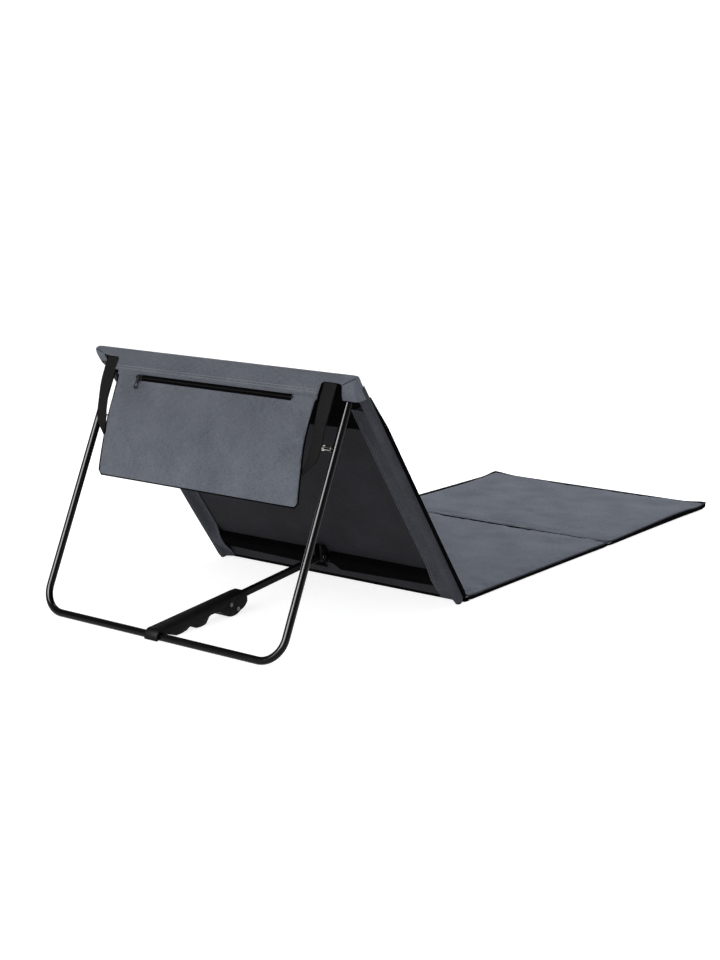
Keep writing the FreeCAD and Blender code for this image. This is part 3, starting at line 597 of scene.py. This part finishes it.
def hinge_under_point(u, v):
    x = (2 * u - 1) * HINGE_UNDER_HALF
    y, z = along(HINGE_UNDER_LINE, v)
    return at(FLOOR, x, y, z)


hinge_under = cloth("hinge_underside", 40, 8, (510, 34), hinge_under_point, thick=0.7)
fit(hinge_under, None, "black_cloth", BLACK_CLOTH, "hinge_strip")
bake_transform(hinge_under)


# Rear of the backrest: lining, hems round the tubes, black bands
LINING_HALF = 255
LINING_TOP = 478


def lining_low(x):
    """Height of the lining's lower edge, which rises to the middle."""
    return 5.5 + 3.5 * (1 - abs(x / 256) ** 3)


def lining_point(u, v):
    x = (2 * u - 1) * LINING_HALF
    height = lining_low(x) + (LINING_TOP - lining_low(x)) * v
    slack = 0.5 * noise.noise(Vector((x / 90, height / 130, 4)))
    return at(BACK, x, -2.3 - 0.3 * abs(slack), height)


rear_lining = cloth("rear_lining", 40, 40, (510, 462), lining_point, thick=0.7)
fit(rear_lining, "backrest", "dark_lining", LINING, "back_lining")

# Section of a hem from its sewn edge, a tuck either side of the seam, then round the side tube
HEM_LINE = [(216.4, -1.5), (217.2, -0.2), (218.6, 0.1), (219.8, -0.9), (221.2, -0.9), (222.4, 0.1),
            (223.8, -0.2), (226.0, -0.8), (235.0, 0.2), (241.5, 3.0), (246.2, 8.6), (249.0, 11.9),
            (252.7, 13.2), (256.6, 11.8), (259.4, 8.4), (260.2, 4.0), (259.4, -0.4), (257.6, -3.0)]
HEM_AXIS = (252.7, 6.0)
HEM_TOP = 500.0
HEM_SEAMS = (218.0, 223.0)
SEAM_HEIGHTS = range(18, 444, 6)
# The hem's inner part ends below the hoop's leg
INNER_TOP = 446
INNER_HALF = 247.5


def over_crossbar(height):
    """Share of the crossbar's thickness that the cloth stands off where it passes over its end."""
    return 1 - ease((height - 67) / 26 if height > 64 else (61 - height) / 56)


def hem_reach(height):
    """How far the cloth stands off the lining at a height."""
    return 14.2 * over_crossbar(height) - 1.0


def hem_draw(side, x, height):
    """Sideways pull of a hem's sewn edge: the cloth sits to one side, and less so on the crossbar."""
    pull = 16 - 9 * over_crossbar(height) if side > 0 else 11 * over_crossbar(height) - 4
    return pull * (1 - ease((x - 216) / 25))


def make_hem(name, side, node):
    """Hem round one side tube, gathered at its foot, with two rows of stitches."""
    def place(u, v):
        x, reach = along(HEM_LINE, u)
        low = lining_low(x) - 1.5 + 4.5 * ease((x - 236) / 10)
        height = low + (HEM_TOP - low) * v
        closing = 0.66 + 0.34 * math.sqrt(ease((height - low) / 9))
        if x > 241:
            x = HEM_AXIS[0] + (x - HEM_AXIS[0]) * closing
            reach = HEM_AXIS[1] + (reach - HEM_AXIS[1]) * closing
        if x < 252:
            reach = max(reach, hem_reach(height))
            x += hem_draw(side, x, height)
        pucker = 1.0 * noise.noise(Vector((x / 9, height / 14, 3 * side))) * ease((44 - height) / 40)
        calm = 1 - ease((height - 370) / 40)
        crease = 0.5 * calm * noise.noise(Vector((x / 12, height / 55, 9 * side))) + pucker
        return at(BACK, side * (x + 0.2 * crease), reach + 0.4 * crease, height)

    obj = cloth(name, 44, 96, (66, 494), place, thick=0.8)
    drop(obj, "VERT", obj.data.vertices, lambda vertex: inner_top(vertex, side))
    fit(obj, "backrest", "grey_cloth", SHADED_CANVAS, node)
    lines = []
    for x in HEM_SEAMS:
        row = []
        for height in SEAM_HEIGHTS:
            reach = max(0.7, hem_reach(height) + 0.7)
            row.append(at(BACK, side * (x + hem_draw(side, x, height)), reach, height))
        lines += line_through(row)
    fit(stitch_row(name + "_stitches", lines), "backrest", "grey_cloth", SHADED_THREAD)


def inner_top(vertex, side):
    """True above the hem's inner end, where the leg needs room."""
    place = BACK.inverted() @ vertex.co / MM
    return place.z > INNER_TOP and side * place.x < INNER_HALF


make_hem("hem_left", 1, "side_hem_left")
make_hem("hem_right", -1, "side_hem_right")


BAND_START = 14
BAND_END = 219
BAND_LOW = 33
# The band's line over the bar, above its lower edge
BAND_LINE = [(7.0, 50.5), (12.0, 58.5), (13.2, 63.5), (12.4, 68.0), (8.0, 71.4), (3.0, 72.6), (-0.9, 74.0)]


def make_tunnel(name, side, node):
    """Black band over one half of the crossbar, as far as the hem."""
    length = 216 if side > 0 else 205

    def place(u, v):
        x = BAND_START + length * u
        bow = max(0.0, 1 - x / BAND_END)
        low = BAND_LOW - 8 * bow
        reach, height = along([(-0.9, low), (0.2, low + 3)] + BAND_LINE, v)
        return at(BACK, side * x, reach, height)

    obj = cloth(name, 30, 18, (length, 57), place, thick=0.8)
    fit(obj, "backrest", "black_cloth", BLACK_CLOTH, node)


make_tunnel("crossbar_band_left", 1, "crossbar_sleeve_left")
make_tunnel("crossbar_band_right", -1, "crossbar_sleeve_right")


def head_band_point(u, v):
    """Black cloth behind the pouch: it widens above the hems' inner ends and sags at its lower edge."""
    height = 402 + 107 * v
    x = (2 * u - 1) * (217 + 27 * ease((height - 444) / 14))
    reach = 2.4 * ease((height - 450) / 14) - 1.2
    return at(BACK, x, reach, height - 5 * (1 - v) * (1 - abs(x / 222) ** 2))


head_cloth = cloth("head_band_cloth", 40, 20, (488, 110), head_band_point, thick=0.7)
fit(head_cloth, "backrest", "black_cloth", BLACK_CLOTH, "head_band")

# Hood over the top bar
BAR_AT = (6.0, 518.0)
CAP_R = 7.8
FLAP_TURN = math.radians(22.4)
FLAP_FALL = (math.cos(FLAP_TURN), -math.sin(FLAP_TURN))
FLAP_FROM = (BAR_AT[0] + CAP_R * math.sin(FLAP_TURN), BAR_AT[1] + CAP_R * math.cos(FLAP_TURN))
FLAP = 32.0
CORNER = 40.0


def flap_point(length):
    """Reach and height on the flap at a length from its start."""
    return FLAP_FROM[0] + FLAP_FALL[0] * length, FLAP_FROM[1] + FLAP_FALL[1] * length


def bar_point(degrees):
    """Reach and height on the cloth round the top bar."""
    turn = math.radians(degrees)
    return BAR_AT[0] + CAP_R * math.cos(turn), BAR_AT[1] + CAP_R * math.sin(turn)


# Rows of the hood: its line from the pad's front over the bar and down the flap. The corners fall more
# steeply.
HOOD_FRONT = [(-10.6, 472.0), (-9.6, 483.0), (-6.6, 497.0), (-3.4, 508.0), bar_point(175), bar_point(140),
              bar_point(105)]
FLAP_ROWS = [flap_point(length) for length in (0, 5, 10, 17, 24, FLAP, CORNER)]
CORNER_ROWS = {-1: [flap_point(0), (13.6, 523.3), (19.0, 519.0), (23.0, 513.0), (25.5, 506.0),
                    (26.5, 499.0), (26.5, 493.0)],
               1: [flap_point(0), (11.6, 523.6), (13.3, 520.5), (14.0, 516.0), (14.2, 511.0),
                   (14.2, 506.0), (14.0, 501.5)]}
FRONT_ROWS = len(HOOD_FRONT)
LAST_ROW = FRONT_ROWS + len(FLAP_ROWS) - 1
# Middle line of a closed end, from its foot up; a front row and a rear row meet at each point
END_SPINE = [(9.0, 482.0), (9.5, 488.0), (10.0, 495.0), (9.5, 502.0), (9.0, 509.0), (8.0, 515.0),
             (7.0, 519.0)]
# Columns of either end, from the outside: place across, and how far they are drawn in to the middle line
HOOD_ENDS = [(260.6, 1.0), (261.2, 0.66), (261.2, 0.36), (260.6, 0.13), (258.8, 0.03), (253.0, 0.0),
             (247.0, 0.0), (243.0, 0.0), (233.0, 0.0), (223.0, 0.0), (213.0, 0.0), (203.0, 0.0)]
HOOD_MIDDLE = [(-203 + 406 * count / 24, 0.0) for count in range(1, 24)]
HOOD_COLUMNS = [(-x, closing) for x, closing in HOOD_ENDS] + HOOD_MIDDLE + HOOD_ENDS[::-1]
NOTCH_ROW, NOTCH_COLUMN = 9, 7
SEAM_ROW, SEAM_COLUMN = 12, 11


def hood_point(column, row):
    """Point of the hood's grid; the front's ends are drawn in to the pad."""
    x, closing = HOOD_COLUMNS[column]
    if row < FRONT_ROWS:
        line = Vector(HOOD_FRONT[row])
        line.x += (-3.0 - line.x) * ease((abs(x) - 205) / 50) * ease((5 - row) / 2)
        x *= 1 - 0.012 * ease((5 - row) / 2) * ease((abs(x) - 205) / 50) * (1 - closing)
    else:
        corner = CORNER_ROWS[1 if x > 0 else -1][row - FRONT_ROWS]
        line = Vector(FLAP_ROWS[row - FRONT_ROWS]).lerp(Vector(corner), ease((abs(x) - 230) / 12))
        if column == NOTCH_COLUMN:
            x += 1.6 * (row - FRONT_ROWS)
    spot = line.lerp(Vector(END_SPINE[min(row, LAST_ROW - row)]), closing)
    crease = noise.noise(Vector((x / 30, row / 3, 6))) * 0.8 * (1 - closing)
    return at(BACK, x, spot.x + crease * 0.5, spot.y + crease * 0.4)


def make_hood():
    columns = len(HOOD_COLUMNS) - 1
    obj = new_grid("hood", columns, LAST_ROW, (560, 110))
    for vertex in obj.data.vertices:
        vertex.co = hood_point(round((vertex.co.x + 0.5) * columns), round((vertex.co.y + 0.5) * LAST_ROW))

    def open_there(face):
        """True in the strap notches and below the pouch's seam."""
        column = min(index % (columns + 1) for index in face.vertices)
        row = min(index // (columns + 1) for index in face.vertices)
        inward = min(column, columns - 1 - column)
        if inward >= SEAM_COLUMN:
            return row >= SEAM_ROW
        return inward >= NOTCH_COLUMN and row >= NOTCH_ROW

    drop(obj, "FACE", obj.data.polygons, open_there)
    bpy.ops.object.mode_set(mode="EDIT")
    bpy.ops.mesh.select_all(action="SELECT")
    bpy.ops.mesh.remove_doubles(threshold=0.2 * MM)
    bpy.ops.object.mode_set(mode="OBJECT")
    subdivide_smooth(obj, 2)
    apply_modifier(obj, "SOLIDIFY", thickness=0.9 * MM, offset=-1.0)
    bpy.ops.object.shade_smooth()
    return obj


hood = make_hood()
# Sewn fold from each notch up to the corner, through points of the grid, in the darkened canvas as painted
# shade along the crease
FOLD_ROWS = (9, 8, 7)
for name, columns in (("hood_fold_right", (7, 5, 3)), ("hood_fold_left", (-8, -6, -4))):
    line = [hood_point(column, row) for column, row in zip(columns, FOLD_ROWS)]
    fit(welt(name, line, 0.8), "backrest", "grey_cloth", SHADED_CANVAS)
fit(hood, "backrest", "grey_cloth", CANVAS, "head_hood")


def on_flap(x, length, lift=0.3):
    """Point on the hood's flap."""
    reach, height = flap_point(length)
    return at(BACK, x, reach + lift * math.sin(FLAP_TURN), height + lift * math.cos(FLAP_TURN))


FLAP_SEAMS = (24.5, 28.5)
flap_lines = []
for length in FLAP_SEAMS:
    flap_lines += line_through([on_flap(-200 + 40 * count, length) for count in range(11)])
fit(stitch_row("flap_stitches", flap_lines), "backrest", "grey_cloth", THREAD)

# Pouch behind the head
POUCH_HALF = 202.0
POUCH_DEEP = 168.0
POUCH_TOP = 0.6
POUCH_THICK = 5.0
# Depth below the seam with the half width, with the reach of the side edges, and with how far the middle
# stands out behind them
SIDE_HALF = [(0, 199.0), (20, 197.2), (45, 196.4), (75, 197.0), (105, 198.4), (135, 199.8), (168, 200.8)]
EDGE_REACH = [(0, -5.0), (20, -5.6), (45, -5.6), (60, -6.0), (75, -7.2), (90, -9.2), (105, -11.8),
              (120, -14.9), (135, -18.2), (150, -21.6), (168, -26.6)]
BELLY = [(0, 4.8), (20, 6.0), (45, 8.5), (75, 8.5), (105, 7.0), (135, 4.5), (160, 1.8), (168, 1.2)]


def pouch_side(part):
    """Half width at a part of the depth: the lower corners are rounded."""
    corner = max(0.0, (part - 0.96) / 0.04)
    return lookup(SIDE_HALF, part * POUCH_DEEP) - 6 * (1 - math.sqrt(max(0.0, 1 - corner * corner)))


def pouch_edge(part):
    """Reach of the side edges at a part of the depth."""
    return lookup(EDGE_REACH, part * POUCH_DEEP)


def new_pouch():
    """Pouch before swelling, hanging from its seam at the origin."""
    obj = new_block("pouch", 20)
    for vertex in obj.data.vertices:
        across = math.sin(math.pi * vertex.co.x)
        part = 0.5 - 0.5 * math.sin(math.pi * vertex.co.z)
        rear = vertex.co.y + 0.5
        belly = lookup(BELLY, part * POUCH_DEEP) * (1 - abs(across) ** 10)
        back = pouch_edge(part) + belly
        front = back - POUCH_THICK - 0.4 * max(0.0, belly - 4.8)
        y = front + (back - front) * rear
        z = -POUCH_TOP - (POUCH_DEEP - POUCH_TOP) * part
        vertex.co = Vector((across * pouch_side(part), y, z)) * MM
    return obj


def pouch_held(point):
    """True near the seam, the lower edge and the sides."""
    return point.z > -21 or point.z < 4 - POUCH_DEEP or abs(point.x) > POUCH_HALF - 6


pouch = new_pouch()
swell(pouch, pouch_held, 2.5, 0.015, 5.0, voxel=3.2)
subdivide_smooth(pouch)
plan_uv(pouch, along_axis=2)
pouch.data.transform(POUCH)
select_only(pouch)
bpy.ops.object.shade_smooth()
fit(pouch, "pouch", "grey_cloth", CANVAS, "pouch_panel", "pouch_lining")
binding_parts = [count / 24 for count in range(25)]
binding = []
for side, parts in ((1, binding_parts), (-1, binding_parts[::-1])):
    for part in parts:
        x = side * (pouch_side(part) + 0.3)
        binding.append(at(POUCH, x, pouch_edge(part) - 1.5, -1.0 - (POUCH_DEEP - 1.0) * part))
fit(welt("pouch_binding", binding, 1.3), "pouch", "black_cloth", BLACK_CLOTH)


def seam_point(u, v):
    """Strip from under the flap's edge on to the pouch."""
    x = (2 * u - 1) * 200.0
    if v < 0.5:
        reach, height = flap_point(FLAP - 5 + 10 * v)
        return at(BACK, x, reach - 0.9 * math.sin(FLAP_TURN), height - 0.9 * math.cos(FLAP_TURN))
    return at(POUCH, x, -0.6 - 5 * abs(x / 200) ** 10, -6 * (v - 0.5) * 2)


seam_strip = cloth("seam_strip", 40, 6, (405, 11), seam_point, thick=0.6)
fit(seam_strip, None, "grey_cloth", CANVAS)
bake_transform(seam_strip)

# Zip: black tape with a row of moulded teeth
ZIP_ENDS = (-158.0, 150.0)
ZIP_DROP = -9.0
ZIP_WIDTH = 10
TOOTH_SIZE = (1.2, 1.4, 2.8)
TOOTH_PITCH = 1.8
TEETH = 170


def zip_point(u, v):
    x = ZIP_ENDS[0] + (ZIP_ENDS[1] - ZIP_ENDS[0]) * u
    return at(POUCH, x, 0.45, ZIP_DROP + (v - 0.5) * ZIP_WIDTH)


zip_tape = cloth("zip_tape", 40, 4, (308, ZIP_WIDTH), zip_point, thick=0.5)
fit(zip_tape, "pouch", "black_cloth", BLACK_CLOTH, "zip_tapes")
bpy.ops.object.select_all(action="DESELECT")
bpy.ops.mesh.primitive_uv_sphere_add(segments=8, ring_count=5, radius=0.5)
tooth = bpy.context.object
tooth_size = Matrix.Diagonal((*(size * MM for size in TOOTH_SIZE), 1))
tooth_places = []
for count in range(1, TEETH + 1):
    middle = Vector((ZIP_ENDS[0] + TOOTH_PITCH * count, 0.85, ZIP_DROP)) * MM
    tooth_places.append(POUCH @ Matrix.Translation(middle) @ tooth_size)
fit(copies("zip_teeth", tooth, tooth_places), "pouch", "black_plastic", NYLON, "zip_coil")

# Straps beside the pouch: sewn under the hood, drawn in behind the pouch's edge at the foot
STRAP_LINE = [(218, 22), (218, 0), (218, -30), (217.5, -55), (216.5, -75), (214, -90), (210, -101),
              (204.5, -111), (200, -118)]
STRAP_WIDTH = 24
# The left strap hangs shorter than the right one
LEFT_SHARE = 0.89


def make_strap(name, side, node):
    """Strap that narrows as it turns edge on, and goes deeper behind the pouch's edge."""
    def place(u, v):
        here = along(STRAP_LINE, v)
        ahead = along(STRAP_LINE, min(1.0, v + 0.02))
        behind = along(STRAP_LINE, max(0.0, v - 0.02))
        run = (ahead - behind).normalized()
        sideways = Vector((-run.y, run.x))
        width = STRAP_WIDTH - 5 * ease((-here.y - 10) / 50) - 12 * ease((-here.y - 84) / 36)
        spot = here + sideways * (u - 0.5) * width
        if side > 0 and spot.y < 0:
            spot.y *= LEFT_SHARE
        depth = -5.0 - 13.0 * ease((-spot.y - 25) / 90) + 0.5 * math.sin(v * 9)
        return at(POUCH, side * spot.x, depth, spot.y)

    obj = cloth(name, 6, 40, (STRAP_WIDTH, 149), place, thick=1.6)
    fit(obj, None, "webbing", WEBBING, node)
    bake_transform(obj)


make_strap("side_strap_left", 1, "strap_left")
make_strap("side_strap_right", -1, "strap_right")

# Hard pieces that keep their node's shape, with rounded edges
HARD = [("notch_rack", "strut", "black_plastic", NYLON, 0.9),
        ("strut_ear_left", "backrest", "black_plastic", NYLON, 0.6),
        ("strut_ear_right", "backrest", "black_plastic", NYLON, 0.6),
        ("zip_slider", "zip_slider_body", "black_metal", BLACK_ZINC, 0.3),
        ("zip_puller", "zip_puller_body", "black_metal", BLACK_ZINC, 0.3)]
for node, body, slot, material, width in HARD:
    fit(softened(node, node + "_rounded", width), body, slot, material, node)

# Finishes of the nodes that stay as they are
NODE_FINISH = [(GLOSS_BLACK, ("back_frame", "crossbar", "support_hoop")),
               (SATIN_BLACK, ("strut_bar",)),
               (NYLON, ("frame_feet", "hoop_plugs", "pivot_washers")),
               (NICKEL, ("pivot_rivets", "strut_pin", "strap_studs")),
               (DULL_STEEL, ("stud_washers", "rack_rivets")),
               (BLACK_ZINC, ("zip_stops",))]
for material, nodes in NODE_FINISH:
    for node in nodes:
        NODES[node].data.materials.clear()
        NODES[node].data.materials.append(material)

# Floor, light and camera
bpy.ops.object.select_all(action="DESELECT")
bpy.ops.mesh.primitive_plane_add(size=30)
floor = named(bpy.context.object, "studio_floor")
# Matt white floor, lit from below as a light table is
floor_material, _, _ = finish_named("lit_white_floor", Base_Color=linear("#bcbcbc"), Roughness=0.9,
                                    Emission_Strength=0.82, Emission_Color=linear("#ffffff"))
floor.data.materials.append(floor_material)

# Pale surround: white near the horizon, dimmer overhead
world = bpy.data.worlds.new("studio")
bpy.context.scene.world = world
world.use_nodes = True
sky = world.node_tree
sky_place = add(sky, "ShaderNodeTexCoord")
sky_parts = add(sky, "ShaderNodeSeparateXYZ", {0: sky_place.outputs["Generated"]})
sky_power = add(sky, "ShaderNodeMapRange", {"Value": sky_parts.outputs["Z"], "From Min": 0.085,
                                            "From Max": 0.22, "To Min": 1.05, "To Max": 0.3})
sky.links.new(sky_power.outputs[0], sky.nodes["Background"].inputs["Strength"])
sky.nodes["Background"].inputs["Color"].default_value = linear("#ffffff")
bpy.context.scene.view_settings.view_transform = "Standard"


def area_light(name, place, target, size, power, shine_only=False):
    """Soft light of a size in metres; one that gives only shine draws the bright line on the tubes."""
    data = bpy.data.lights.new(name, "AREA")
    data.shape = "RECTANGLE"
    data.size, data.size_y = size
    data.energy = power
    obj = bpy.data.objects.new(name, data)
    bpy.context.scene.collection.objects.link(obj)
    obj.location = place
    obj.rotation_euler = (Vector(target) - Vector(place)).to_track_quat("-Z", "Y").to_euler()
    obj.visible_diffuse = not shine_only


area_light("tube_softbox", (0.36, 2.74, 1.42), (0, 0.62, 0.2), (1.6, 1.6), 330, shine_only=True)
area_light("front_softbox", (-0.6, 3.4, 1.6), (0, 0.5, 0.25), (2.0, 1.6), 36)
area_light("mat_softbox", (0, -1.0, 2.2), (0, -0.3, 0), (2.0, 1.6), 58)

# The photograph's view: eye, direction, roll and lens
EYE = Vector((-1.7047, 2.5910, 0.7630))
AHEAD = Vector((0.5654, -0.8007, -0.1980)).normalized()
ROLL = math.radians(1.11)
LENS, SENSOR = 64.52, 36.0
level_right = AHEAD.cross(Vector((0, 0, 1))).normalized()
level_up = level_right.cross(AHEAD)
right = level_right * math.cos(ROLL) + level_up * math.sin(ROLL)
up = right.cross(AHEAD)
camera_data = bpy.data.cameras.new("camera")
camera_data.lens = LENS
camera_data.sensor_fit = "VERTICAL"
camera_data.sensor_height = SENSOR
camera = bpy.data.objects.new("camera", camera_data)
bpy.context.scene.collection.objects.link(camera)
camera.matrix_world = Matrix.Translation(EYE) @ Matrix((right, up, -AHEAD)).transposed().to_4x4()
bpy.context.scene.camera = camera
